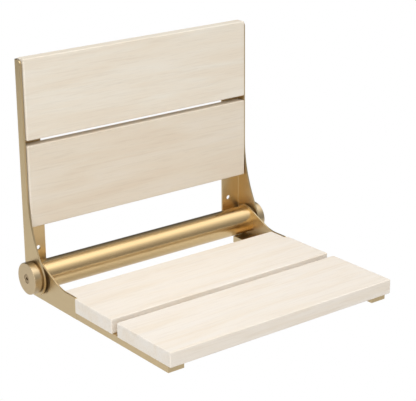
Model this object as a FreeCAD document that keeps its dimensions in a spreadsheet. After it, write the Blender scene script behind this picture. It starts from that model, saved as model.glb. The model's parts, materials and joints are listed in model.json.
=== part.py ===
import FreeCAD, Part
import os
import Sketcher

# Folding shower seat with a backrest, held on a wall by two uprights.
# Millimetres. +X runs across the seat, +Y points into the wall and +Z is up.
# The part's origin is on the wall, midway between the two lower wall holes.
# Every piece is drawn about the hinge axis, where y and z are 0, and is then placed as a whole.

DRIVING_SIZES = (
    # slats
    ("slat_length", 457.0),       # every slat, across the seat
    ("slat_round", 2.0),          # eased edges of the slats
    ("seat_thick", 25.5),
    ("seat_reach", 378.4),        # from the hinge axis to the front edge of the seat
    ("front_slat_width", 141.0),
    ("seat_gap", 15.0),           # between the seat slats
    ("rear_slat_width", 145.0),
    ("back_thick", 20.0),
    ("back_bottom", 84.0),        # height of the lower back slat above the hinge axis
    ("lower_slat_width", 141.5),
    ("back_gap", 9.0),            # between the back slats
    ("upper_slat_width", 137.0),
    # hinge
    ("tube_radius", 25.0),
    ("tube_wall", 2.0),
    ("tube_clearance", 3.2),      # from the tube down to the rails
    ("collar_lip", 2.0),          # the arm's round end stands this far outside the tube
    ("wall_clearance", 1.0),      # from the collar to the upright's wall plate
    ("hub_thick", 12.0),
    ("bush_radius", 9.0),
    ("washer_radius", 24.0),      # the bush's flange
    ("washer_thick", 4.05),
    ("side_play", 0.2),           # along the hinge axis, on each side
    ("pin_radius", 7.0),
    ("pin_play", 0.05),           # running fit of pin and bush
    ("pin_tail", 3.0),            # the pin stands this far inside the hub
    ("fixed_fit", 0.02),          # between pieces that don't turn on each other
    # end caps
    ("spacer_radius", 24.0),
    ("spacer_thick", 2.5),
    ("cap_radius", 27.6),
    ("cap_thick", 12.8),
    ("cap_round", 0.8),
    ("cap_recess_radius", 8.0),
    ("cap_recess_depth", 5.5),
    ("cap_head_radius", 7.2),
    ("cap_head_height", 5.0),
    ("cap_screw_radius", 4.0),
    ("cap_screw_length", 24.0),
    ("cap_screw_play", 0.3),
    ("cap_key_radius", 2.9),      # to the corners of the hexagon socket
    ("cap_key_depth", 3.0),
    # uprights
    ("upright_thick", 3.0),
    ("upright_width", 41.0),      # the wall plate, with the flange's edge
    ("upright_height", 369.0),    # its top above the hinge axis
    ("upright_corner", 8.0),
    ("bend_radius", 4.0),         # outside of the bend
    ("flange_lip", 5.0),          # the flange's round end stands this far outside the collar
    ("flare_angle", 28.0),        # the flange's front edge leaves the upright line by this many degrees
    ("flare_sweep", 240.0),       # radius where it leaves
    ("flange_setback", 4.0),      # from the back slats' front to the flange's front edge
    ("wall_hole_height", 38.0),   # lower wall holes above the hinge axis
    ("wall_hole_inset", 14.0),    # from the wall plate's inner edge
    ("wall_hole_radius", 4.0),
    ("key_entry_radius", 6.0),    # round part of the keyhole
    ("key_slot_radius", 3.0),
    ("key_travel", 11.0),
    ("key_relief", 6.0),          # depth of the pocket for the wall screw's head
    # arms and rails
    ("arm_inset", 2.75),          # from the slat ends in to the arm's outer face
    ("arm_thick", 3.0),
    ("arm_reach", 38.6),          # from the rear slat's rear edge to the arm's front end
    ("arm_slope", 24.0),          # degrees, from the collar down to the arm's top edge
    ("arm_sweep", 72.0),
    ("arm_corner", 3.0),
    ("heel_corner", 3.0),
    ("notch_clearance", 0.5),     # between the rear slat and an arm
    ("rail_width", 30.5),
    ("rail_thick", 12.5),
    ("rail_setback", 9.6),       # from the seat's front edge
    ("rail_round", 1.0),
    # stops
    ("heel_width", 8.0),
    ("pad_thick", 6.8),
    ("pad_height", 12.0),
    ("pad_round", 1.0),
    ("stop_gap", 0.2),            # from the pad to the wall plate when the seat is down
    # slat screws
    ("screw_inset", 25.0),        # from a slat's long edge
    ("back_screw_radius", 2.1),
    ("back_screw_length", 15.0),
    ("back_head_radius", 4.6),
    ("back_head_depth", 2.3),
    ("seat_screw_radius", 2.5),
    ("seat_screw_length", 21.0),
    ("seat_head_radius", 4.5),
    ("seat_head_height", 3.2),
    ("seat_recess_depth", 4.2),
    ("screw_play", 0.3),
    ("screw_key_radius", 1.8),
    ("screw_key_depth", 1.4),
)

# Places and sizes that follow from the driving sizes, as expressions of the sheet.
HALF_SLAT = "Sizes.slat_length / 2"
COLLAR = "(Sizes.tube_radius + Sizes.collar_lip)"
PLATE_FRONT = "(Sizes.tube_radius + Sizes.collar_lip + Sizes.wall_clearance)"
WALL = "(" + PLATE_FRONT + " + Sizes.upright_thick)"
BACK_FRONT = "(" + PLATE_FRONT + " - Sizes.back_thick)"
FLANGE_FRONT = "(" + BACK_FRONT + " + Sizes.flange_setback)"
FLANGE_END = "(Sizes.tube_radius + Sizes.collar_lip + Sizes.flange_lip)"

ARM_OUTER = "(Sizes.slat_length / 2 - Sizes.arm_inset)"
ARM_INNER = "(" + ARM_OUTER + " - Sizes.arm_thick)"
HUB_INNER = "(" + ARM_INNER + " - Sizes.hub_thick)"
WASHER_OUTER = "(" + ARM_OUTER + " + Sizes.washer_thick)"
FLANGE_INNER = "(" + WASHER_OUTER + " + Sizes.side_play)"
FLANGE_OUTER = "(" + FLANGE_INNER + " + Sizes.upright_thick)"
PLATE_INNER = "(" + FLANGE_OUTER + " - Sizes.upright_width)"
HOLE_COLUMN = "(" + PLATE_INNER + " + Sizes.wall_hole_inset)"
CAP_INNER = "(" + FLANGE_OUTER + " + Sizes.spacer_thick)"
CAP_OUTER = "(" + CAP_INNER + " + Sizes.cap_thick)"
CAP_FLOOR = "(" + CAP_OUTER + " - Sizes.cap_recess_depth)"
SCREW_TIP = "(" + CAP_FLOOR + " - Sizes.cap_screw_length)"
RAIL_INNER = "(" + ARM_OUTER + " - Sizes.rail_width)"
RAIL_COLUMN = "(" + ARM_OUTER + " - Sizes.rail_width / 2)"
HEEL_INNER = "(" + ARM_INNER + " - Sizes.heel_width)"

SEAT_BOTTOM = "(-Sizes.tube_radius - Sizes.tube_clearance)"
SEAT_TOP = "(" + SEAT_BOTTOM + " + Sizes.seat_thick)"
RAIL_BOTTOM = "(" + SEAT_BOTTOM + " - Sizes.rail_thick)"
FRONT_SLAT = ("(-Sizes.seat_reach)", "(-Sizes.seat_reach + Sizes.front_slat_width)")
REAR_SLAT_FRONT = "(" + FRONT_SLAT[1] + " + Sizes.seat_gap)"
REAR_SLAT = (REAR_SLAT_FRONT, "(" + REAR_SLAT_FRONT + " + Sizes.rear_slat_width)")
ARM_FRONT = "(" + REAR_SLAT[1] + " - Sizes.arm_reach)"
RAIL_FRONT = "(-Sizes.seat_reach + Sizes.rail_setback)"
HEEL_REAR = "(" + PLATE_FRONT + " - Sizes.stop_gap - Sizes.pad_thick)"

LOWER_SLAT = ("Sizes.back_bottom", "(Sizes.back_bottom + Sizes.lower_slat_width)")
UPPER_SLAT_BOTTOM = "(" + LOWER_SLAT[1] + " + Sizes.back_gap)"
UPPER_SLAT = (UPPER_SLAT_BOTTOM, "(" + UPPER_SLAT_BOTTOM + " + Sizes.upper_slat_width)")
KEY_HEIGHT = "(" + UPPER_SLAT_BOTTOM + " + Sizes.upper_slat_width / 2)"
KEY_ENTRY_HEIGHT = "(" + KEY_HEIGHT + " - Sizes.key_travel)"

# The planes that sketches lie on. A pad or a cut runs along the plane's normal.
SIDE_PLANE = "YZ_Plane"     # draws y and z, normal +X
FRONT_PLANE = "XZ_Plane"    # draws x and z, normal -Y
TOP_PLANE = "XY_Plane"      # draws x and y, normal +Z

SIDES = ("left", "right")
LEAST_CUT = 0.05            # least volume, in cubic millimetres, that a cut takes away
SAME_PLACE = 0.01

doc = FreeCAD.newDocument("FoldingShowerSeat")
sizes = doc.addObject("Spreadsheet::Sheet", "Sizes")
for row, (alias, value) in enumerate(DRIVING_SIZES, start=1):
    sizes.set("A%d" % row, alias)
    sizes.set("B%d" % row, repr(value))
    sizes.setAlias("B%d" % row, alias)
doc.recompute()

nodes = []


# ---------------------------------------------------------------- tools for drawing

def number(expression):
    """The value, in millimetres, of an expression of the sheet."""
    result = sizes.evalExpression(expression)
    return float(getattr(result, "Value", result))


def mirrored(side, expression):
    """An x place on the named side."""
    return expression if side == "right" else "-(" + expression + ")"


def span(side, near, far):
    """The low and high x of a stretch between two distances from the middle."""
    if side == "right":
        return near, far
    return "-(" + far + ")", "-(" + near + ")"


def length_of(low, high):
    return "(" + high + ") - (" + low + ")"


def place_on_hinge(piece):
    """Moves a piece from the hinge axis to its place in front of the wall."""
    piece.setExpression("Placement.Base.y", "-" + WALL)
    piece.setExpression("Placement.Base.z", "-Sizes.wall_hole_height")


def keep(piece, label):
    piece.Label = label
    place_on_hinge(piece)
    nodes.append(piece)
    return piece


def new_body(label):
    return keep(doc.addObject("PartDesign::Body", label), label)


def new_sketch(body, name, plane, level):
    """A sketch on one of the body's own planes, moved along its normal to a level."""
    sketch = body.newObject("Sketcher::SketchObject", body.Name + "_" + name)
    support = [feature for feature in body.Origin.OriginFeatures if feature.Role == plane][0]
    sketch.AttachmentSupport = [(support, "")]
    sketch.MapMode = "FlatFace"
    offset = "-(" + level + ")" if plane == FRONT_PLANE else level
    sketch.setExpression("AttachmentOffset.Base.z", offset)
    return sketch


def fix_point(sketch, geometry, point, x, y):
    """Holds a point of the sketch at two expressions."""
    if x == "0":
        sketch.addConstraint(Sketcher.Constraint("PointOnObject", geometry, point, -2))
    else:
        held = sketch.addConstraint(Sketcher.Constraint("DistanceX", -1, 1, geometry, point, number(x)))
        sketch.setExpression("Constraints[%d]" % held, x)
    if y == "0":
        sketch.addConstraint(Sketcher.Constraint("PointOnObject", geometry, point, -1))
    else:
        held = sketch.addConstraint(Sketcher.Constraint("DistanceY", -1, 1, geometry, point, number(y)))
        sketch.setExpression("Constraints[%d]" % held, y)


def draw_polygon(sketch, corners):
    """A closed outline of straight lines through corners given as expressions."""
    points = [FreeCAD.Vector(number(x), number(y), 0) for x, y in corners]
    first = sketch.GeometryCount
    for index, point in enumerate(points):
        following = points[(index + 1) % len(points)]
        sketch.addGeometry(Part.LineSegment(point, following), False)
    for index in range(len(points)):
        following = first + (index + 1) % len(points)
        sketch.addConstraint(Sketcher.Constraint("Coincident", first + index, 2, following, 1))
    for index, (x, y) in enumerate(corners):
        fix_point(sketch, first + index, 1, x, y)


def draw_rectangle(sketch, low_x, high_x, low_y, high_y):
    draw_polygon(sketch, ((low_x, low_y), (high_x, low_y), (high_x, high_y), (low_x, high_y)))


def draw_circle(sketch, x, y, radius):
    centre = FreeCAD.Vector(number(x), number(y), 0)
    circle = sketch.addGeometry(Part.Circle(centre, FreeCAD.Vector(0, 0, 1), number(radius)), False)
    fix_point(sketch, circle, 3, x, y)
    held = sketch.addConstraint(Sketcher.Constraint("Radius", circle, number(radius)))
    sketch.setExpression("Constraints[%d]" % held, radius)


def pad(body, sketch, length):
    feature = body.newObject("PartDesign::Pad", sketch.Name + "_pad")
    feature.Profile = sketch
    feature.setExpression("Length", length)
    body.Tip = feature
    doc.recompute()


def cut(body, sketch, length):
    """Cuts the sketch away from its plane, along the plane's normal."""
    before = body.Tip.Shape.Volume
    feature = body.newObject("PartDesign::Pocket", sketch.Name + "_cut")
    feature.Profile = sketch
    feature.Reversed = True
    feature.setExpression("Length", length)
    body.Tip = feature
    doc.recompute()
    if feature.Shape.Volume > before - LEAST_CUT:
        raise RuntimeError(sketch.Name + " cuts nothing away")


def edges_where(body, wanted):
    """Names of the edges of the body so far whose bounding box passes a test."""
    names = []
    for index, edge in enumerate(body.Tip.Shape.Edges, start=1):
        if wanted(edge.BoundBox):
            names.append("Edge%d" % index)
    if not names:
        raise RuntimeError(body.Label + " has no such edge")
    return names


def round_edges(body, name, radius, wanted):
    rounded = (body.Tip, edges_where(body, wanted))
    feature = body.newObject("PartDesign::Fillet", body.Name + "_" + name)
    feature.Base = rounded
    feature.setExpression("Radius", radius)
    body.Tip = feature
    doc.recompute()


def bevel_edges(body, name, size, wanted):
    bevelled = (body.Tip, edges_where(body, wanted))
    feature = body.newObject("PartDesign::Chamfer", body.Name + "_" + name)
    feature.Base = bevelled
    feature.setExpression("Size", size)
    body.Tip = feature
    doc.recompute()


def along_x_at(y, z):
    """Test for an edge along X at a place in the side view."""
    def wanted(box):
        at_y = abs(box.YMin - y) < SAME_PLACE and abs(box.YMax - y) < SAME_PLACE
        at_z = abs(box.ZMin - z) < SAME_PLACE and abs(box.ZMax - z) < SAME_PLACE
        return at_y and at_z and box.XLength > SAME_PLACE
    return wanted


def along_y_at(x, z):
    def wanted(box):
        at_x = abs(box.XMin - x) < SAME_PLACE and abs(box.XMax - x) < SAME_PLACE
        at_z = abs(box.ZMin - z) < SAME_PLACE and abs(box.ZMax - z) < SAME_PLACE
        return at_x and at_z and box.YLength > SAME_PLACE
    return wanted


def along_z_at(x, y):
    def wanted(box):
        at_x = abs(box.XMin - x) < SAME_PLACE and abs(box.XMax - x) < SAME_PLACE
        at_y = abs(box.YMin - y) < SAME_PLACE and abs(box.YMax - y) < SAME_PLACE
        return at_x and at_y and box.ZLength > SAME_PLACE
    return wanted


def disc(body, name, side, near, far, radii):
    """A round plate about the hinge axis between two distances from the middle."""
    low, high = span(side, near, far)
    sketch = new_sketch(body, name, SIDE_PLANE, low)
    for radius in radii:
        draw_circle(sketch, "0", "0", radius)
    pad(body, sketch, length_of(low, high))


def bore(body, name, side, near, far, radius):
    """A round hole on the hinge axis between two distances from the middle."""
    low, high = span(side, near, far)
    sketch = new_sketch(body, name, SIDE_PLANE, low)
    draw_circle(sketch, "0", "0", radius)
    cut(body, sketch, length_of(low, high))


# ---------------------------------------------------------------- places of the screws

def screw_heights(slat):
    """The two places across a slat where its screws go."""
    low, high = slat
    return "(" + low + " + Sizes.screw_inset)", "(" + high + " - Sizes.screw_inset)"


def back_screw_places(side):
    places = []
    for slat in (LOWER_SLAT, UPPER_SLAT):
        for height in screw_heights(slat):
            places.append((mirrored(side, HOLE_COLUMN), height))
    return places


def seat_screw_places(side):
    places = []
    for slat in (FRONT_SLAT, REAR_SLAT):
        for depth in screw_heights(slat):
            places.append((mirrored(side, RAIL_COLUMN), depth))
    return places


# ---------------------------------------------------------------- uprights

def make_upright(side):
    """Bent bracket: a plate on the wall and a flange that flares out around the pivot."""
    body = new_body(side + "_upright")
    low, high = span(side, FLANGE_INNER, FLANGE_OUTER)
    flare = "(Sizes.flare_angle * 1 deg)"
    touch_y = "(-" + FLANGE_END + " * cos" + flare + ")"
    touch_z = "(" + FLANGE_END + " * sin" + flare + ")"
    leave_z = "(" + touch_z + " + (" + FLANGE_FRONT + " - " + touch_y + ") / tan" + flare + ")"
    toe_y = "(" + touch_y + " - (" + touch_z + " + " + FLANGE_END + ") * tan" + flare + ")"

    outline = new_sketch(body, "flange", SIDE_PLANE, low)
    draw_polygon(outline, (
        (WALL, "Sizes.upright_height"),
        (FLANGE_FRONT, "Sizes.upright_height"),
        (FLANGE_FRONT, leave_z),
        (toe_y, "-" + FLANGE_END),
        (WALL, "-" + FLANGE_END),
    ))
    pad(body, outline, length_of(low, high))

    plate_low, plate_high = span(side, PLATE_INNER, FLANGE_OUTER)
    plate = new_sketch(body, "wall_plate", FRONT_PLANE, WALL)
    draw_rectangle(plate, plate_low, plate_high, "-" + FLANGE_END, "Sizes.upright_height")
    pad(body, plate, "Sizes.upright_thick")

    outer_x = number(mirrored(side, FLANGE_OUTER))
    inner_x = number(mirrored(side, FLANGE_INNER))
    edge_x = number(mirrored(side, PLATE_INNER))
    top = number("Sizes.upright_height")
    bottom = number("-" + FLANGE_END)
    round_edges(body, "round_end", FLANGE_END, along_x_at(number(toe_y), bottom))
    round_edges(body, "bend_outside", "Sizes.bend_radius", along_z_at(outer_x, number(WALL)))
    round_edges(body, "bend_inside", "Sizes.bend_radius - Sizes.upright_thick",
                along_z_at(inner_x, number(PLATE_FRONT)))
    round_edges(body, "sweep", "Sizes.flare_sweep", along_x_at(number(FLANGE_FRONT), number(leave_z)))
    round_edges(body, "top_corner", "Sizes.upright_corner", along_x_at(number(FLANGE_FRONT), top))
    round_edges(body, "plate_top", "Sizes.upright_corner", along_y_at(edge_x, top))
    round_edges(body, "plate_foot", "Sizes.upright_corner", along_y_at(edge_x, bottom))

    bore(body, "pin_hole", side, FLANGE_INNER, FLANGE_OUTER, "Sizes.pin_radius + Sizes.fixed_fit")

    column = mirrored(side, HOLE_COLUMN)
    wall_hole = new_sketch(body, "wall_hole", FRONT_PLANE, WALL)
    draw_circle(wall_hole, column, "Sizes.wall_hole_height", "Sizes.wall_hole_radius")
    cut(body, wall_hole, "Sizes.upright_thick")

    key_entry = new_sketch(body, "key_entry", FRONT_PLANE, WALL)
    draw_circle(key_entry, column, KEY_ENTRY_HEIGHT, "Sizes.key_entry_radius")
    cut(body, key_entry, "Sizes.upright_thick")
    cut_key_slot(body, column, WALL, "Sizes.upright_thick", "Sizes.key_slot_radius")

    screw_holes = new_sketch(body, "screw_holes", FRONT_PLANE, WALL)
    hole_radius = "Sizes.back_screw_radius + Sizes.screw_play"
    for x, z in back_screw_places(side):
        draw_circle(screw_holes, x, z, hole_radius)
    cut(body, screw_holes, "Sizes.upright_thick")
    mouth_width = 2 * number(hole_radius)
    wall = number(WALL)

    def screw_mouth(box):
        on_wall = abs(box.YMin - wall) < SAME_PLACE and abs(box.YMax - wall) < SAME_PLACE
        round_mouth = abs(box.XLength - mouth_width) < SAME_PLACE
        return on_wall and round_mouth and abs(box.ZLength - mouth_width) < SAME_PLACE

    bevel_edges(body, "countersinks", "Sizes.back_head_depth", screw_mouth)


def cut_key_slot(body, column, level, depth, radius):
    """The upper, narrow part of a keyhole: a straight slot with a round top."""
    top = new_sketch(body, "key_top", FRONT_PLANE, level)
    draw_circle(top, column, KEY_HEIGHT, radius)
    cut(body, top, depth)
    slot = new_sketch(body, "key_slot", FRONT_PLANE, level)
    low_x = column + " - " + radius
    high_x = column + " + " + radius
    draw_rectangle(slot, low_x, high_x, KEY_ENTRY_HEIGHT, KEY_HEIGHT)
    cut(body, slot, depth)


# ---------------------------------------------------------------- slats

def make_back_slat(label, slat, key_pockets):
    """A slat across the uprights, with blind holes for its screws in its rear face."""
    body = new_body(label)
    board = new_sketch(body, "board", FRONT_PLANE, PLATE_FRONT)
    draw_rectangle(board, "-" + HALF_SLAT, HALF_SLAT, slat[0], slat[1])
    pad(body, board, "Sizes.back_thick")
    round_edges(body, "eased", "Sizes.slat_round", lambda box: True)

    holes = new_sketch(body, "screw_holes", FRONT_PLANE, PLATE_FRONT)
    for side in SIDES:
        for height in screw_heights(slat):
            draw_circle(holes, mirrored(side, HOLE_COLUMN), height,
                        "Sizes.back_screw_radius + Sizes.fixed_fit")
    cut(body, holes, "Sizes.back_screw_length - Sizes.upright_thick + Sizes.screw_play")
    if not key_pockets:
        return
    for side in SIDES:
        column = mirrored(side, HOLE_COLUMN)
        pocket = new_sketch(body, side + "_head_pocket", FRONT_PLANE, PLATE_FRONT)
        draw_rectangle(
            pocket,
            column + " - Sizes.key_entry_radius",
            column + " + Sizes.key_entry_radius",
            KEY_ENTRY_HEIGHT + " - Sizes.key_entry_radius",
            KEY_HEIGHT + " + Sizes.key_entry_radius",
        )
        cut(body, pocket, "Sizes.key_relief")


def make_seat_slat(label, slat, notched):
    """A slat on the rails, with blind holes for its screws in its underside."""
    body = new_body(label)
    board = new_sketch(body, "board", TOP_PLANE, SEAT_BOTTOM)
    draw_rectangle(board, "-" + HALF_SLAT, HALF_SLAT, slat[0], slat[1])
    pad(body, board, "Sizes.seat_thick")
    round_edges(body, "eased", "Sizes.slat_round", lambda box: True)

    holes = new_sketch(body, "screw_holes", TOP_PLANE, SEAT_BOTTOM)
    for side in SIDES:
        for depth in screw_heights(slat):
            draw_circle(holes, mirrored(side, RAIL_COLUMN), depth,
                        "Sizes.seat_screw_radius + Sizes.fixed_fit")
    reach = "Sizes.seat_screw_length - Sizes.rail_thick + Sizes.seat_recess_depth + Sizes.screw_play"
    cut(body, holes, reach)
    if not notched:
        return
    for side in SIDES:
        low, high = span(side, ARM_INNER + " - Sizes.notch_clearance", HALF_SLAT)
        notch = new_sketch(body, side + "_notch", TOP_PLANE, SEAT_BOTTOM)
        draw_rectangle(notch, low, high, "(" + ARM_FRONT + " - Sizes.notch_clearance)", slat[1])
        cut(body, notch, "Sizes.seat_thick")


# ---------------------------------------------------------------- arms, rails and stops

def make_arm(side):
    """Side plate of the seat: a round collar at the pivot, a sloping shoulder and a heel."""
    body = new_body(side + "_seat_arm")
    low, high = span(side, ARM_INNER, ARM_OUTER)
    slope = "(Sizes.arm_slope * 1 deg)"
    touch_y = "(-" + COLLAR + " * sin" + slope + ")"
    touch_z = "(" + COLLAR + " * cos" + slope + ")"
    foot_y = "(" + touch_y + " - (" + touch_z + " - " + SEAT_TOP + ") / tan" + slope + ")"
    outline = new_sketch(body, "outline", SIDE_PLANE, low)
    draw_polygon(outline, (
        (ARM_FRONT, SEAT_TOP),
        (foot_y, SEAT_TOP),
        (touch_y, touch_z),
        (HEEL_REAR, "0"),
        (HEEL_REAR, RAIL_BOTTOM),
        (ARM_FRONT, RAIL_BOTTOM),
    ))
    pad(body, outline, length_of(low, high))
    disc(body, "collar", side, ARM_INNER, ARM_OUTER, [COLLAR])
    seat_top = number(SEAT_TOP)
    front = number(ARM_FRONT)
    round_edges(body, "shoulder", "Sizes.arm_sweep", along_x_at(number(foot_y), seat_top))
    round_edges(body, "front_corner", "Sizes.arm_corner", along_x_at(front, seat_top))
    round_edges(body, "heel", "Sizes.heel_corner", along_x_at(number(HEEL_REAR), number(RAIL_BOTTOM)))
    bore(body, "bush_hole", side, ARM_INNER, ARM_OUTER, "Sizes.bush_radius + Sizes.fixed_fit")


def make_rail(side):
    """Flat bar under the slats, flush with the arm in front of it and narrower inside it."""
    body = new_body(side + "_seat_rail")
    low, high = span(side, RAIL_INNER, ARM_OUTER)
    bar = new_sketch(body, "bar", TOP_PLANE, RAIL_BOTTOM)
    draw_rectangle(bar, low, high, RAIL_FRONT, "0")
    pad(body, bar, "Sizes.rail_thick")
    bottom = number(RAIL_BOTTOM)
    front = number(RAIL_FRONT)

    def lower_edge(box):
        return box.ZMax - bottom < SAME_PLACE and box.YMin < -SAME_PLACE

    def front_corner(box):
        return abs(box.YMax - front) < SAME_PLACE and box.ZLength > SAME_PLACE

    round_edges(body, "eased", "Sizes.rail_round", lambda box: lower_edge(box) or front_corner(box))
    holes = new_sketch(body, "screw_holes", TOP_PLANE, RAIL_BOTTOM)
    recesses = new_sketch(body, "head_recesses", TOP_PLANE, RAIL_BOTTOM)
    for x, y in seat_screw_places(side):
        draw_circle(holes, x, y, "Sizes.seat_screw_radius + Sizes.screw_play")
        draw_circle(recesses, x, y, "Sizes.seat_head_radius + Sizes.screw_play")
    cut(body, holes, "Sizes.rail_thick")
    cut(body, recesses, "Sizes.seat_recess_depth")
    arm_low, arm_high = span(side, ARM_INNER, ARM_OUTER)
    arm_seat = new_sketch(body, "arm_seat", TOP_PLANE, RAIL_BOTTOM)
    draw_rectangle(arm_seat, arm_low, arm_high, "(" + ARM_FRONT + " - Sizes.notch_clearance)", "0")
    cut(body, arm_seat, "Sizes.rail_thick")


def make_heel_block(side):
    """Block behind the rail that widens the arm's heel."""
    block = doc.addObject("Part::Box", side + "_heel_block_bar")
    low, high = span(side, HEEL_INNER, ARM_INNER)
    block.setExpression("Length", length_of(low, high))
    block.setExpression("Width", HEEL_REAR)
    block.setExpression("Height", "Sizes.rail_thick")
    block.setExpression("Placement.Base.x", low)
    block.setExpression("Placement.Base.z", RAIL_BOTTOM)
    doc.recompute()
    inner_x = number(mirrored(side, HEEL_INNER))
    names = []
    for index, edge in enumerate(block.Shape.Edges, start=1):
        if along_y_at(inner_x, number(RAIL_BOTTOM))(edge.BoundBox):
            names.append((index, number("Sizes.rail_round"), number("Sizes.rail_round")))
    eased = doc.addObject("Part::Fillet", side + "_heel_block")
    eased.Base = block
    eased.Edges = names
    keep(eased, side + "_heel_block")


def make_stop_pad(side):
    """Pad on the heel that meets the wall plate when the seat is down."""
    body = new_body(side + "_stop_pad")
    low, high = span(side, HEEL_INNER, ARM_OUTER)
    block_face = new_sketch(body, "block", TOP_PLANE, "-" + FLANGE_END)
    draw_rectangle(block_face, low, high, HEEL_REAR, "(" + HEEL_REAR + " + Sizes.pad_thick)")
    pad(body, block_face, "Sizes.pad_height")
    rear = number(HEEL_REAR + " + Sizes.pad_thick")
    round_edges(body, "eased", "Sizes.pad_round", lambda box: abs(box.YMin - rear) < SAME_PLACE)


# ---------------------------------------------------------------- hinge

def make_tube():
    """Round tube across the seat, between the arms."""
    body = new_body("hinge_tube")
    section = new_sketch(body, "section", SIDE_PLANE, "-" + ARM_INNER)
    draw_circle(section, "0", "0", "Sizes.tube_radius")
    draw_circle(section, "0", "0", "Sizes.tube_radius - Sizes.tube_wall")
    pad(body, section, "2 * " + ARM_INNER)


def make_hub(side):
    """Plug in the tube's end that carries the bush."""
    body = new_body(side + "_tube_hub")
    outer = "Sizes.tube_radius - Sizes.tube_wall - Sizes.fixed_fit"
    disc(body, "plug", side, HUB_INNER, ARM_INNER, [outer, "Sizes.bush_radius + Sizes.fixed_fit"])


def make_bush(side):
    """Plain bearing in the hub and the arm; its flange keeps the arm off the upright."""
    body = new_body(side + "_bush")
    inner = "Sizes.pin_radius + Sizes.pin_play"
    disc(body, "sleeve", side, HUB_INNER, ARM_OUTER, ["Sizes.bush_radius", inner])
    disc(body, "flange", side, ARM_OUTER, WASHER_OUTER, ["Sizes.washer_radius", inner])


def make_pin(side):
    """Pivot pin, welded in the upright, with a threaded hole for the cap's screw."""
    body = new_body(side + "_pivot_pin")
    tail = "(" + HUB_INNER + " - Sizes.pin_tail)"
    disc(body, "shaft", side, tail, CAP_INNER, ["Sizes.pin_radius"])
    depth_end = "(" + SCREW_TIP + " - Sizes.screw_play)"
    bore(body, "thread", side, depth_end, CAP_INNER, "Sizes.cap_screw_radius + Sizes.fixed_fit")


def make_spacer(side):
    """Disc between the upright and the cap, smaller than both."""
    body = new_body(side + "_cap_spacer")
    inner = "Sizes.pin_radius + Sizes.fixed_fit"
    disc(body, "ring", side, FLANGE_OUTER, CAP_INNER, ["Sizes.spacer_radius", inner])


def make_cap(side):
    """Thick round cover over the pivot, held by one screw in its recess."""
    body = new_body(side + "_end_cap")
    disc(body, "cover", side, CAP_INNER, CAP_OUTER, ["Sizes.cap_radius"])
    outer_x = number(mirrored(side, CAP_OUTER))
    round_edges(body, "rim", "Sizes.cap_round",
                lambda box: abs(box.XMin - outer_x) < SAME_PLACE and abs(box.XMax - outer_x) < SAME_PLACE)
    bore(body, "screw_hole", side, CAP_INNER, CAP_FLOOR, "Sizes.cap_screw_radius + Sizes.cap_screw_play")
    bore(body, "recess", side, CAP_FLOOR, CAP_OUTER, "Sizes.cap_recess_radius")


def make_cap_screw(side):
    """Socket screw through the cap into the pivot pin."""
    body = new_body(side + "_cap_screw")
    head_outer = "(" + CAP_FLOOR + " + Sizes.cap_head_height)"
    disc(body, "shank", side, SCREW_TIP, CAP_FLOOR, ["Sizes.cap_screw_radius"])
    disc(body, "head", side, CAP_FLOOR, head_outer, ["Sizes.cap_head_radius"])
    low, high = span(side, head_outer + " - Sizes.cap_key_depth", head_outer)
    socket = new_sketch(body, "socket", SIDE_PLANE, low)
    corner = "Sizes.cap_key_radius"
    flat = "(Sizes.cap_key_radius * cos(30 deg))"
    draw_polygon(socket, (
        (flat, corner + " / 2"),
        ("0", corner),
        ("-" + flat, corner + " / 2"),
        ("-" + flat, "-" + corner + " / 2"),
        ("0", "-" + corner),
        (flat, "-" + corner + " / 2"),
    ))
    cut(body, socket, length_of(low, high))


# ---------------------------------------------------------------- slat screws

def turned(kind, name, x, y, z, axis, angle, lengths):
    """A Part primitive turned to an axis, its sizes and place held by expressions."""
    piece = doc.addObject(kind, name)
    for size_name, expression in lengths.items():
        piece.setExpression(size_name, expression)
    piece.Placement = FreeCAD.Placement(FreeCAD.Vector(0, 0, 0), FreeCAD.Rotation(axis, angle))
    piece.setExpression("Placement.Base.x", x)
    piece.setExpression("Placement.Base.y", y)
    piece.setExpression("Placement.Base.z", z)
    return piece


def one_screw(name, shank, head, socket):
    """Shank and head joined, less the key socket."""
    solid = doc.addObject("Part::Fuse", name + "_solid")
    solid.Base = shank
    solid.Tool = head
    screw = doc.addObject("Part::Cut", name)
    screw.Base = solid
    screw.Tool = socket
    return screw


def make_back_screws():
    """Countersunk screws from the wall side, through the wall plates into the back slats."""
    screws = []
    across = FreeCAD.Vector(1, 0, 0)
    for side in SIDES:
        for index, (x, z) in enumerate(back_screw_places(side), start=1):
            name = "%s_back_screw_%d" % (side, index)
            shank = turned("Part::Cylinder", name + "_shank", x, WALL, z, across, 90,
                           {"Radius": "Sizes.back_screw_radius", "Height": "Sizes.back_screw_length"})
            head = turned("Part::Cone", name + "_head", x, WALL, z, across, 90,
                          {"Radius1": "Sizes.back_head_radius", "Radius2": "Sizes.back_screw_radius",
                           "Height": "Sizes.back_head_depth"})
            socket = turned("Part::Prism", name + "_key", x, WALL, z, across, 90,
                            {"Circumradius": "Sizes.screw_key_radius", "Height": "Sizes.screw_key_depth"})
            screws.append(one_screw(name, shank, head, socket))
    group = doc.addObject("Part::Compound", "back_slat_screws")
    group.Links = screws
    keep(group, "back_slat_screws")


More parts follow.
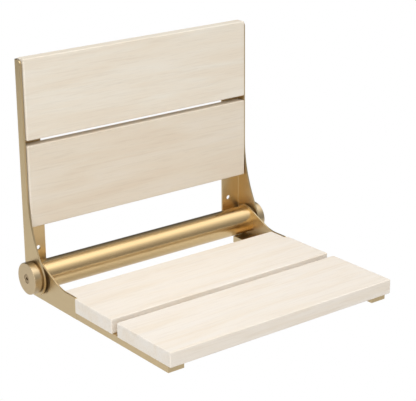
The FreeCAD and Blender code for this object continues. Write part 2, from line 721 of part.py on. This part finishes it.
def make_seat_screws():
    """Pan-head screws from below, through the rails into the seat slats."""
    screws = []
    unturned = FreeCAD.Vector(0, 0, 1)
    shoulder = "(" + RAIL_BOTTOM + " + Sizes.seat_recess_depth)"
    head_low = "(" + shoulder + " - Sizes.seat_head_height)"
    for side in SIDES:
        for index, (x, y) in enumerate(seat_screw_places(side), start=1):
            name = "%s_seat_screw_%d" % (side, index)
            shank = turned("Part::Cylinder", name + "_shank", x, y, shoulder, unturned, 0,
                           {"Radius": "Sizes.seat_screw_radius", "Height": "Sizes.seat_screw_length"})
            head = turned("Part::Cylinder", name + "_head", x, y, head_low, unturned, 0,
                          {"Radius": "Sizes.seat_head_radius", "Height": "Sizes.seat_head_height"})
            socket = turned("Part::Prism", name + "_key", x, y, head_low, unturned, 0,
                            {"Circumradius": "Sizes.screw_key_radius", "Height": "Sizes.screw_key_depth"})
            screws.append(one_screw(name, shank, head, socket))
    group = doc.addObject("Part::Compound", "seat_slat_screws")
    group.Links = screws
    keep(group, "seat_slat_screws")


# ---------------------------------------------------------------- the whole seat

make_back_slat("lower_back_slat", LOWER_SLAT, key_pockets=False)
make_back_slat("upper_back_slat", UPPER_SLAT, key_pockets=True)
make_seat_slat("front_seat_slat", FRONT_SLAT, notched=False)
make_seat_slat("rear_seat_slat", REAR_SLAT, notched=True)
make_tube()
for side in SIDES:
    make_upright(side)
    make_arm(side)
    make_rail(side)
    make_heel_block(side)
    make_stop_pad(side)
    make_hub(side)
    make_bush(side)
    make_pin(side)
    make_spacer(side)
    make_cap(side)
    make_cap_screw(side)
make_back_screws()
make_seat_screws()
doc.recompute()

faults = [item.Name for item in doc.Objects if "Invalid" in item.State or "Error" in item.State]
faults += [piece.Label for piece in nodes if piece.Shape.isNull() or not piece.Shape.isValid()]
if faults:
    raise RuntimeError("failed objects: " + ", ".join(faults))

os.makedirs("parts", exist_ok=True)
for piece in nodes:
    piece.Shape.exportStep(os.path.join("parts", piece.Label + ".step"))
    print(piece.Label, len(piece.Shape.Solids), round(piece.Shape.Volume))
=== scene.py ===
import bpy, json, math
from mathutils import Matrix, Vector

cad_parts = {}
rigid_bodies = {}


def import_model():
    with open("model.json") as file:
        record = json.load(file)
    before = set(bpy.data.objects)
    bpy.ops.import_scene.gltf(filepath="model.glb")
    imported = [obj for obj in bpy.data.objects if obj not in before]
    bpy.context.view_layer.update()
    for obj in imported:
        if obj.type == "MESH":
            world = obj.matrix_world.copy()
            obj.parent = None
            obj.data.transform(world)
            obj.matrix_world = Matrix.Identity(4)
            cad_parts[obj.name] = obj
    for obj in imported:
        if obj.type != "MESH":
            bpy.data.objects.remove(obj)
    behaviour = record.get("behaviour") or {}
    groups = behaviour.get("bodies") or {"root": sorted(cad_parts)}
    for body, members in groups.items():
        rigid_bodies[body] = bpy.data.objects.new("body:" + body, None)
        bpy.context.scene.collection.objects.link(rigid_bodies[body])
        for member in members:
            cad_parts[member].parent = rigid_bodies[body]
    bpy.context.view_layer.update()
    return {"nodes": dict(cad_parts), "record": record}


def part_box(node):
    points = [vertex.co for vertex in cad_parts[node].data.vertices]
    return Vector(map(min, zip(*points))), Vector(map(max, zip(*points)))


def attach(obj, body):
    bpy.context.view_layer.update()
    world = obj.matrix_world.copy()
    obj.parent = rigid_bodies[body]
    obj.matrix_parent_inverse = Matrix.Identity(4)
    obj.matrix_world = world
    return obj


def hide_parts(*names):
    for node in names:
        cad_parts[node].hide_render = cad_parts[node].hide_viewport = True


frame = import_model()

SIDES = {"left": -1, "right": 1}
HINGE_Y = -0.031
HINGE_Z = -0.038
FLOOR_HEIGHT = -0.36

# Lengths in metres, angles in degrees.
SHARP_ANGLE = 35
MACHINED_SHARP_ANGLE = 30
SLAT_EASE = 0.002
NOTCH_PLAY = 0.0005
TUBE_WALL = 0.002
CAP_RIM = 0.0009
RECESS_RADIUS = 0.008
RECESS_DEPTH = 0.0055
RECESS_EASE = 0.00025


# ---------------------------------------------------------------- tools for modelling

def deselect_all():
    for other in bpy.context.view_layer.objects:
        other.select_set(False)


def pick(piece):
    """Makes one piece the selected and active one."""
    deselect_all()
    piece.select_set(True)
    bpy.context.view_layer.objects.active = piece


def settle(piece, name):
    """Applies a new primitive's place, turn and scale, and names it."""
    pick(piece)
    bpy.ops.object.transform_apply(location=True, rotation=True, scale=True)
    piece.name = name
    piece.data.name = name
    return piece


def select_faces(piece, wanted):
    """Selects the faces whose centre and normal pass a test, in edit mode."""
    bpy.ops.object.mode_set(mode="OBJECT")
    for vertex in piece.data.vertices:
        vertex.select = False
    for edge in piece.data.edges:
        edge.select = False
    for face in piece.data.polygons:
        face.select = wanted(face.center, face.normal)
    bpy.ops.object.mode_set(mode="EDIT")
    bpy.ops.mesh.select_mode(type="FACE")


def select_edges(piece, wanted):
    """Selects the edges whose two ends pass a test, in edit mode."""
    bpy.ops.object.mode_set(mode="OBJECT")
    points = piece.data.vertices
    for vertex in points:
        vertex.select = False
    for face in piece.data.polygons:
        face.select = False
    for edge in piece.data.edges:
        start, end = edge.vertices
        edge.select = wanted(points[start].co, points[end].co)
    bpy.ops.object.mode_set(mode="EDIT")
    bpy.ops.mesh.select_mode(type="EDGE")


def smooth(piece, degrees=SHARP_ANGLE):
    """Shades a piece smooth up to an angle, with normals that follow its large faces."""
    pick(piece)
    bpy.ops.object.shade_smooth_by_angle(angle=math.radians(degrees))
    even = piece.modifiers.new("even_normals", "WEIGHTED_NORMAL")
    even.keep_sharp = True
    bpy.ops.object.modifier_apply(modifier=even.name)


def finish_piece(piece, node, material):
    """Gives a piece its finish and puts it on the body of the node that it stands for."""
    piece.data.materials.clear()
    piece.data.materials.append(material)
    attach(piece, body_of[node])
    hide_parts(node)


body_of = {
    node: body
    for body, members in frame["record"]["behaviour"]["bodies"].items()
    for node in members
}


# ---------------------------------------------------------------- tools for finishes

def graded(tree, value, stops):
    """A colour, or a grey level, for each value from 0 to 1."""
    ramp = tree.nodes.new("ShaderNodeValToRGB")
    points = ramp.color_ramp.elements
    while len(points) < len(stops):
        points.new(0.5)
    for point, (place, colour) in zip(points, stops):
        point.position = place
        if isinstance(colour, float):
            colour = (colour, colour, colour)
        point.color = (*colour, 1.0)
    tree.links.new(value, ramp.inputs["Fac"])
    return ramp.outputs["Color"]


def colour_socket(sockets, name):
    """The socket of a mix node that has this name and carries a colour."""
    return next(item for item in sockets if item.name == name and item.type == "RGBA")


class Finish:
    """A node-based material that is wired up by name."""

    def __init__(self, name, **fixed):
        self.material = bpy.data.materials.new(name)
        self.material.use_nodes = True
        self.tree = self.material.node_tree
        self.shader = self.tree.nodes["Principled BSDF"]
        for socket, value in fixed.items():
            self.shader.inputs[socket.replace("_", " ")].default_value = value
        place = self.tree.nodes.new("ShaderNodeTexCoord")
        self.place = place.outputs["Object"]

    def link(self, source, target):
        self.tree.links.new(source, target)

    def stretched(self, scale, shift=(0.0, 0.0, 0.0)):
        """Object coordinates, stretched and moved."""
        mapping = self.tree.nodes.new("ShaderNodeMapping")
        mapping.inputs["Location"].default_value = shift
        mapping.inputs["Scale"].default_value = scale
        self.link(self.place, mapping.inputs["Vector"])
        return mapping.outputs["Vector"]

    def noise(self, vector, detail=4.0, rough=0.55, distortion=0.0):
        noise = self.tree.nodes.new("ShaderNodeTexNoise")
        noise.inputs["Scale"].default_value = 1.0
        noise.inputs["Detail"].default_value = detail
        noise.inputs["Roughness"].default_value = rough
        noise.inputs["Distortion"].default_value = distortion
        self.link(vector, noise.inputs["Vector"])
        return noise.outputs["Fac"]

    def ramp(self, value, stops):
        return graded(self.tree, value, stops)

    def mixed(self, amount, first, second, blend="MIX"):
        """Two colours mixed by an amount, each of them an output or a plain value."""
        mix = self.tree.nodes.new("ShaderNodeMix")
        mix.data_type = "RGBA"
        mix.blend_type = blend
        for target, value in (
            (mix.inputs[0], amount),
            (colour_socket(mix.inputs, "A"), first),
            (colour_socket(mix.inputs, "B"), second),
        ):
            if isinstance(value, float):
                target.default_value = value
            elif isinstance(value, tuple):
                target.default_value = (*value, 1.0)
            else:
                self.link(value, target)
        return colour_socket(mix.outputs, "Result")

    def set(self, socket, value):
        self.link(value, self.shader.inputs[socket])

    def bump(self, height, strength, distance):
        bump = self.tree.nodes.new("ShaderNodeBump")
        bump.inputs["Strength"].default_value = strength
        bump.inputs["Distance"].default_value = distance
        self.link(height, bump.inputs["Height"])
        self.link(bump.outputs["Normal"], self.shader.inputs["Normal"])


def brushed_gold(name, along, base, roughness):
    """Satin gold with fine brush lines along one axis: x, y or z."""
    finish = Finish(name, Metallic=1.0)
    fine = [2600.0, 2600.0, 2600.0]
    fine["xyz".index(along)] = 24.0
    lines = finish.noise(finish.stretched(tuple(fine)), detail=3.0, rough=0.6)
    patches = finish.noise(finish.stretched((11.0, 11.0, 11.0)), detail=2.0)
    light = tuple(min(1.0, channel * 1.05) for channel in base)
    deep = tuple(channel * 0.93 for channel in base)
    tone = finish.mixed(finish.ramp(lines, [(0.3, 0.0), (0.7, 1.0)]), deep, light)
    warm = finish.mixed(finish.ramp(patches, [(0.35, 0.0), (0.7, 0.5)]), tone, deep)
    finish.set("Base Color", warm)
    spread = 0.04
    finish.set("Roughness", finish.ramp(lines, [
        (0.25, roughness - spread), (0.75, roughness + spread),
    ]))
    finish.bump(lines, 0.12, 0.00003)
    return finish.material


def whitewashed_wood(name, shift, tone):
    """Pale washed wood, grain along x, with soft wide bands and fine pores."""
    finish = Finish(name, Specular_IOR_Level=0.35)
    wide = finish.noise(finish.stretched((4.5, 42.0, 42.0), shift), distortion=0.8)
    grain = finish.noise(finish.stretched((13.0, 300.0, 300.0), shift), detail=6.0, rough=0.65)
    pores = finish.noise(finish.stretched((45.0, 1500.0, 1500.0), shift), detail=2.0, rough=0.5)
    wash, warm, cool = tone
    body = finish.ramp(wide, [(0.32, cool), (0.50, wash), (0.66, warm)])
    streaks = finish.ramp(grain, [
        (0.30, (0.90, 0.875, 0.85)), (0.50, (1.0, 1.0, 1.0)), (0.72, (1.0, 0.985, 0.965)),
    ])
    streaked = finish.mixed(0.65, body, streaks, "MULTIPLY")
    pits = finish.ramp(pores, [(0.26, 0.80), (0.38, 1.0)])
    finish.set("Base Color", finish.mixed(0.35, streaked, pits, "MULTIPLY"))
    finish.set("Roughness", finish.ramp(grain, [(0.3, 0.58), (0.7, 0.46)]))
    finish.bump(finish.mixed(0.5, grain, pores), 0.25, 0.0003)
    return finish.material


def speckled(name, dark, light, scale, roughness, **fixed):
    """A moulded or plain metal finish with faint mottling."""
    finish = Finish(name, **fixed)
    grains = finish.noise(finish.stretched((scale, scale, scale)), detail=4.0, rough=0.6)
    finish.set("Base Color", finish.ramp(grains, [(0.3, dark), (0.7, light)]))
    spread = 0.06
    finish.set("Roughness", finish.ramp(grains, [
        (0.3, roughness - spread), (0.7, roughness + spread),
    ]))
    finish.bump(grains, 0.15, 0.0001)
    return finish.material


# Each board's tones: the wash itself, its warm streaks and its cool ones.
SEAT_TONES = ((0.86, 0.79, 0.70), (0.84, 0.755, 0.645), (0.865, 0.805, 0.73))
UPPER_TONES = ((0.83, 0.755, 0.64), (0.81, 0.72, 0.595), (0.84, 0.78, 0.68))
LOWER_TONES = ((0.775, 0.685, 0.56), (0.755, 0.65, 0.52), (0.79, 0.71, 0.60))
gold_tube = brushed_gold("brushed_gold_tube", "x", (0.76, 0.555, 0.29), 0.24)
gold_cap = brushed_gold("brushed_gold_cap", "y", (0.63, 0.49, 0.30), 0.34)
gold_upright = brushed_gold("brushed_gold_upright", "z", (0.67, 0.52, 0.30), 0.34)
gold_arm = brushed_gold("brushed_gold_arm", "y", (0.655, 0.51, 0.30), 0.34)
# The screw's gold is a darker copy of the other golds: painted shade for the cap's screw recess, so
# the head reads dark inside it.
gold_screw = brushed_gold("gold_screw", "y", (0.42, 0.31, 0.18), 0.34)
seat_wood = whitewashed_wood("whitewashed_wood_seat", (3.1, 1.7, 0.4), SEAT_TONES)
upper_wood = whitewashed_wood("whitewashed_wood_upper", (8.3, 4.2, 2.9), UPPER_TONES)
lower_wood = whitewashed_wood("whitewashed_wood_lower", (5.3, 2.2, 6.9), LOWER_TONES)
bare_steel = speckled("bare_steel", (0.50, 0.50, 0.51), (0.62, 0.62, 0.63), 900.0, 0.34, Metallic=1.0)
bearing_plastic = speckled(
    "bearing_plastic", (0.13, 0.085, 0.045), (0.18, 0.12, 0.065), 700.0, 0.45,
)
pad_rubber = speckled("pad_rubber", (0.03, 0.03, 0.032), (0.05, 0.05, 0.053), 1200.0, 0.75)


# ---------------------------------------------------------------- slats

def round_selected_edges(radius, segments):
    bpy.ops.mesh.bevel(
        offset=radius, segments=segments, profile=0.5, affect="EDGES", clamp_overlap=True,
    )


def round_all_edges(piece, radius, segments):
    """Rounds every sharp edge of a piece."""
    pick(piece)
    bpy.ops.object.mode_set(mode="EDIT")
    bpy.ops.mesh.select_mode(type="EDGE")
    bpy.ops.mesh.select_all(action="DESELECT")
    bpy.ops.mesh.edges_select_sharp(sharpness=math.radians(SHARP_ANGLE))
    round_selected_edges(radius, segments)
    bpy.ops.object.mode_set(mode="OBJECT")


def eased_slat(slat):
    round_all_edges(slat, SLAT_EASE, 4)
    smooth(slat)
    return slat


def plain_slat(node):
    """A board with eased edges, in the box of its node."""
    low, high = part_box(node)
    deselect_all()
    bpy.ops.mesh.primitive_cube_add(size=1, location=(low + high) / 2, scale=high - low)
    slat = settle(bpy.context.object, node + "_board")
    return eased_slat(slat)


def notched_slat(node, arm):
    """The rear seat board, with its two corners cut away for the arms."""
    low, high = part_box(node)
    arm_low, arm_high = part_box(arm)
    notch_x = arm_low.x - NOTCH_PLAY
    notch_y = arm_low.y - NOTCH_PLAY
    middle = (low + high) / 2
    deselect_all()
    bpy.ops.mesh.primitive_plane_add(size=1, location=(middle.x, middle.y, high.z))
    slat = bpy.context.object
    slat.scale = (high.x - low.x, high.y - low.y, 1)
    settle(slat, node + "_board")
    bpy.ops.object.mode_set(mode="EDIT")
    for place, normal in (
        ((notch_x, 0, 0), (1, 0, 0)),
        ((-notch_x, 0, 0), (1, 0, 0)),
        ((0, notch_y, 0), (0, 1, 0)),
    ):
        bpy.ops.mesh.select_all(action="SELECT")
        bpy.ops.mesh.bisect(plane_co=place, plane_no=normal)
    select_faces(slat, lambda centre, _: abs(centre.x) > notch_x and centre.y > notch_y)
    bpy.ops.mesh.delete(type="FACE")
    bpy.ops.mesh.select_all(action="SELECT")
    bpy.ops.mesh.extrude_region_move(TRANSFORM_OT_translate={"value": (0, 0, low.z - high.z)})
    bpy.ops.mesh.select_all(action="SELECT")
    bpy.ops.mesh.remove_doubles(threshold=0.00001)
    bpy.ops.mesh.normals_make_consistent(inside=False)
    bpy.ops.mesh.dissolve_limited(angle_limit=math.radians(1))
    bpy.ops.object.mode_set(mode="OBJECT")
    return eased_slat(slat)


for node, wood in (
    ("front_seat_slat", seat_wood),
    ("lower_back_slat", lower_wood),
    ("upper_back_slat", upper_wood),
):
    finish_piece(plain_slat(node), node, wood)
rear_slat = notched_slat("rear_seat_slat", "right_seat_arm")
finish_piece(rear_slat, "rear_seat_slat", seat_wood)


# ---------------------------------------------------------------- plates and bars

def eased_copy(node, ease):
    """The node's own shape with its doubles merged and its sharp edges eased."""
    source = frame["nodes"][node]
    piece = bpy.data.objects.new(node + "_eased", source.data.copy())
    bpy.context.scene.collection.objects.link(piece)
    pick(piece)
    bpy.ops.object.mode_set(mode="EDIT")
    bpy.ops.mesh.select_all(action="SELECT")
    bpy.ops.mesh.remove_doubles(threshold=0.000002)
    bpy.ops.mesh.dissolve_limited(angle_limit=math.radians(0.4))
    bpy.ops.object.mode_set(mode="OBJECT")
    if ease:
        round_all_edges(piece, ease, 2)
    smooth(piece, MACHINED_SHARP_ANGLE)
    return piece


def finish_copies(rows):
    """Eased copies of nodes; each row has the node, its finish, its slot and its ease."""
    for node, material, slot, ease in rows:
        finish_piece(eased_copy(node, ease), node, material)


for side in SIDES:
    finish_copies((
        (side + "_upright", gold_upright, "brushed_gold", 0.0003),
        (side + "_seat_arm", gold_arm, "brushed_gold", 0.0004),
        (side + "_seat_rail", gold_arm, "brushed_gold", 0.0003),
        (side + "_heel_block", gold_arm, "brushed_gold", 0.0003),
    ))


# ---------------------------------------------------------------- the hinge

def cross_cylinder(name, radius, low_x, high_x, sides=128):
    """A closed cylinder along x on the hinge axis."""
    deselect_all()
    bpy.ops.mesh.primitive_cylinder_add(
        vertices=sides,
        radius=radius,
        depth=high_x - low_x,
        location=((low_x + high_x) / 2, HINGE_Y, HINGE_Z),
        rotation=(0, math.pi / 2, 0),
    )
    return settle(bpy.context.object, name)


def make_tube():
    """The tube, open at both ends, with its inner wall."""
    low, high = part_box("hinge_tube")
    tube = cross_cylinder("hinge_tube_body", (high.z - low.z) / 2, low.x, high.x, 160)
    select_faces(tube, lambda _, normal: abs(normal.x) > 0.9)
    bpy.ops.mesh.inset(thickness=TUBE_WALL, depth=0)
    bpy.ops.mesh.delete(type="FACE")
    bpy.ops.mesh.select_mode(type="EDGE")
    bpy.ops.mesh.select_all(action="DESELECT")
    bpy.ops.mesh.select_non_manifold()
    bpy.ops.mesh.bridge_edge_loops()
    bpy.ops.mesh.select_all(action="SELECT")
    bpy.ops.mesh.normals_make_consistent(inside=False)
    bpy.ops.object.mode_set(mode="OBJECT")
    smooth(tube)
    return tube


def make_cap(side):
    """The end cap: a thick disc with an eased rim and a round recess for its screw."""
    sign = SIDES[side]
    low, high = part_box(side + "_end_cap")
    radius = (high.z - low.z) / 2
    outer = high.x if sign > 0 else low.x
    cap = cross_cylinder(side + "_end_cap_disc", radius, low.x, high.x)

    def at_outer_face(point):
        return abs(point.x - outer) < 0.00001

    select_edges(cap, lambda start, end: at_outer_face(start) and at_outer_face(end))
    round_selected_edges(CAP_RIM, 4)
    select_faces(cap, lambda centre, normal: normal.x * sign > 0.99 and at_outer_face(centre))
    bpy.ops.mesh.inset(thickness=radius - CAP_RIM - RECESS_RADIUS, depth=0)
    bpy.ops.mesh.inset(thickness=RECESS_EASE, depth=-RECESS_EASE)
    inward = -sign * (RECESS_DEPTH - RECESS_EASE)
    bpy.ops.mesh.extrude_region_move(TRANSFORM_OT_translate={"value": (inward, 0, 0)})
    bpy.ops.object.mode_set(mode="OBJECT")
    smooth(cap, MACHINED_SHARP_ANGLE)
    return cap


def make_spacer(side):
    """The recessed ring between the cap and the upright."""
    low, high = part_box(side + "_cap_spacer")
    spacer = cross_cylinder(side + "_cap_spacer_ring", (high.z - low.z) / 2, low.x, high.x)
    round_all_edges(spacer, 0.0002, 2)
    smooth(spacer, MACHINED_SHARP_ANGLE)
    return spacer


finish_piece(make_tube(), "hinge_tube", gold_tube)
for side in SIDES:
    finish_piece(make_cap(side), side + "_end_cap", gold_cap)
    finish_piece(make_spacer(side), side + "_cap_spacer", gold_cap)
    finish_copies((
        (side + "_cap_screw", gold_screw, "gold_screw", 0.00015),
        (side + "_tube_hub", bare_steel, "bare_steel", 0.0003),
        (side + "_pivot_pin", bare_steel, "bare_steel", 0.0003),
        (side + "_bush", bearing_plastic, "bearing_plastic", 0.0002),
        (side + "_stop_pad", pad_rubber, "pad_rubber", 0.0),
    ))
finish_copies((
    ("back_slat_screws", bare_steel, "bare_steel", 0.0),
    ("seat_slat_screws", bare_steel, "bare_steel", 0.0),
))


# ---------------------------------------------------------------- floor, light and camera

def make_floor():
    """A pale matt floor that looks plain white to the camera."""
    deselect_all()
    bpy.ops.mesh.primitive_plane_add(size=1, location=(-1.2, 0.8, FLOOR_HEIGHT))
    floor = bpy.context.object
    floor.scale = (4.4, 2.8, 1)
    settle(floor, "pale_floor")
    finish = Finish("pale_floor_paint", Roughness=0.8)
    cloud = finish.noise(finish.stretched((1.5, 1.5, 1.5)), detail=2.0)
    colour = finish.ramp(cloud, [(0.3, (0.80, 0.80, 0.795)), (0.7, (0.83, 0.83, 0.825))])
    seen = finish.tree.nodes.new("ShaderNodeLightPath").outputs["Is Camera Ray"]
    finish.set("Base Color", finish.mixed(seen, colour, (0.0, 0.0, 0.0)))
    finish.set("Specular IOR Level", finish.ramp(seen, [(0.0, 0.2), (1.0, 0.0)]))
    finish.shader.inputs["Emission Color"].default_value = (1.0, 1.0, 1.0, 1.0)
    finish.set("Emission Strength", seen)
    floor.data.materials.append(finish.material)


def soft_light(name, place, target, size, power, colour=(1.0, 1.0, 1.0)):
    """A rectangular lamp at one place that faces another."""
    data = bpy.data.lights.new(name, "AREA")
    data.shape = "RECTANGLE"
    data.size, data.size_y = size
    data.energy = power
    data.color = colour
    lamp = bpy.data.objects.new(name, data)
    bpy.context.scene.collection.objects.link(lamp)
    lamp.location = place
    aim = Vector(target) - Vector(place)
    lamp.rotation_euler = aim.to_track_quat("-Z", "Y").to_euler()


def make_studio():
    """A dome, bright overhead, dark at the horizon and behind, and white to the camera."""
    world = bpy.data.worlds.new("studio")
    bpy.context.scene.world = world
    world.use_nodes = True
    tree = world.node_tree
    shade = tree.nodes["Background"]
    place = tree.nodes.new("ShaderNodeTexCoord")
    split = tree.nodes.new("ShaderNodeSeparateXYZ")
    tree.links.new(place.outputs["Generated"], split.inputs[0])

    def spread_out(source, low, high):
        """A value from low to high, as 0 to 1."""
        spread = tree.nodes.new("ShaderNodeMapRange")
        spread.inputs["From Min"].default_value = low
        spread.inputs["From Max"].default_value = high
        tree.links.new(source, spread.inputs["Value"])
        return spread.outputs["Result"]

    facing = tree.nodes.new("ShaderNodeMath")
    facing.operation = "MULTIPLY"
    tree.links.new(split.outputs["Y"], facing.inputs[0])
    tree.links.new(spread_out(split.outputs["Z"], -0.2, 0.2), facing.inputs[1])
    height = graded(tree, spread_out(split.outputs["Z"], -1.0, 1.0), [
        (0.0, 0.60), (0.33, 0.78), (0.42, 0.34), (0.52, 0.28), (0.60, 0.30),
        (0.66, 0.40), (0.75, 0.58), (0.83, 1.00), (0.89, 1.62), (1.0, 1.45),
    ])
    depth = graded(tree, spread_out(facing.outputs["Value"], 0.0, 1.0), [
        (0.0, 1.0), (0.18, 0.85), (0.42, 0.36), (0.68, 0.28), (1.0, 0.28),
    ])
    both = tree.nodes.new("ShaderNodeMix")
    both.data_type = "RGBA"
    both.blend_type = "MULTIPLY"
    both.inputs[0].default_value = 1.0
    tree.links.new(height, colour_socket(both.inputs, "A"))
    tree.links.new(depth, colour_socket(both.inputs, "B"))
    seen = tree.nodes.new("ShaderNodeLightPath")
    choice = tree.nodes.new("ShaderNodeMix")
    choice.data_type = "RGBA"
    tree.links.new(seen.outputs["Is Camera Ray"], choice.inputs[0])
    tree.links.new(colour_socket(both.outputs, "Result"), colour_socket(choice.inputs, "A"))
    colour_socket(choice.inputs, "B").default_value = (1.0, 1.0, 1.0, 1.0)
    tree.links.new(colour_socket(choice.outputs, "Result"), shade.inputs["Color"])
    shade.inputs["Strength"].default_value = 1.0
    soft_light("overhead_softbox", (-0.3, -0.9, 1.9), (0.1, -0.2, 0.0), (1.8, 1.4), 8.0)
    soft_light("front_fill", (-1.6, -4.6, 0.9), (0.0, -0.1, 0.1), (3.0, 3.0), 46.0)
    cool = (0.95, 0.98, 1.0)
    soft_light("left_fill", (-3.4, -0.9, 0.7), (0.0, -0.1, 0.1), (2.0, 2.0), 26.0, cool)


def make_camera():
    """A long lens in front, to the left and a little above, turned slightly on its axis."""
    azimuth = math.radians(-37.63)
    elevation = math.radians(19.19)
    roll = math.radians(-0.49)
    back = Vector((
        math.sin(azimuth) * math.cos(elevation),
        -math.cos(azimuth) * math.cos(elevation),
        math.sin(elevation),
    ))
    right = Vector((math.cos(azimuth), math.sin(azimuth), 0.0))
    up = back.cross(right)
    turned_right = math.cos(roll) * right + math.sin(roll) * up
    turned_up = -math.sin(roll) * right + math.cos(roll) * up
    data = bpy.data.cameras.new("product_camera")
    data.sensor_fit = "HORIZONTAL"
    data.sensor_width = 36.0
    data.lens = 122.27
    data.clip_end = 60.0
    camera = bpy.data.objects.new("product_camera", data)
    bpy.context.scene.collection.objects.link(camera)
    place = Matrix((turned_right, turned_up, back)).transposed().to_4x4()
    place.translation = Vector((-1.3452, -1.9529, 0.8611))
    camera.matrix_world = place
    bpy.context.scene.camera = camera


make_floor()
make_studio()
make_camera()
bpy.context.scene.view_settings.view_transform = "Standard"
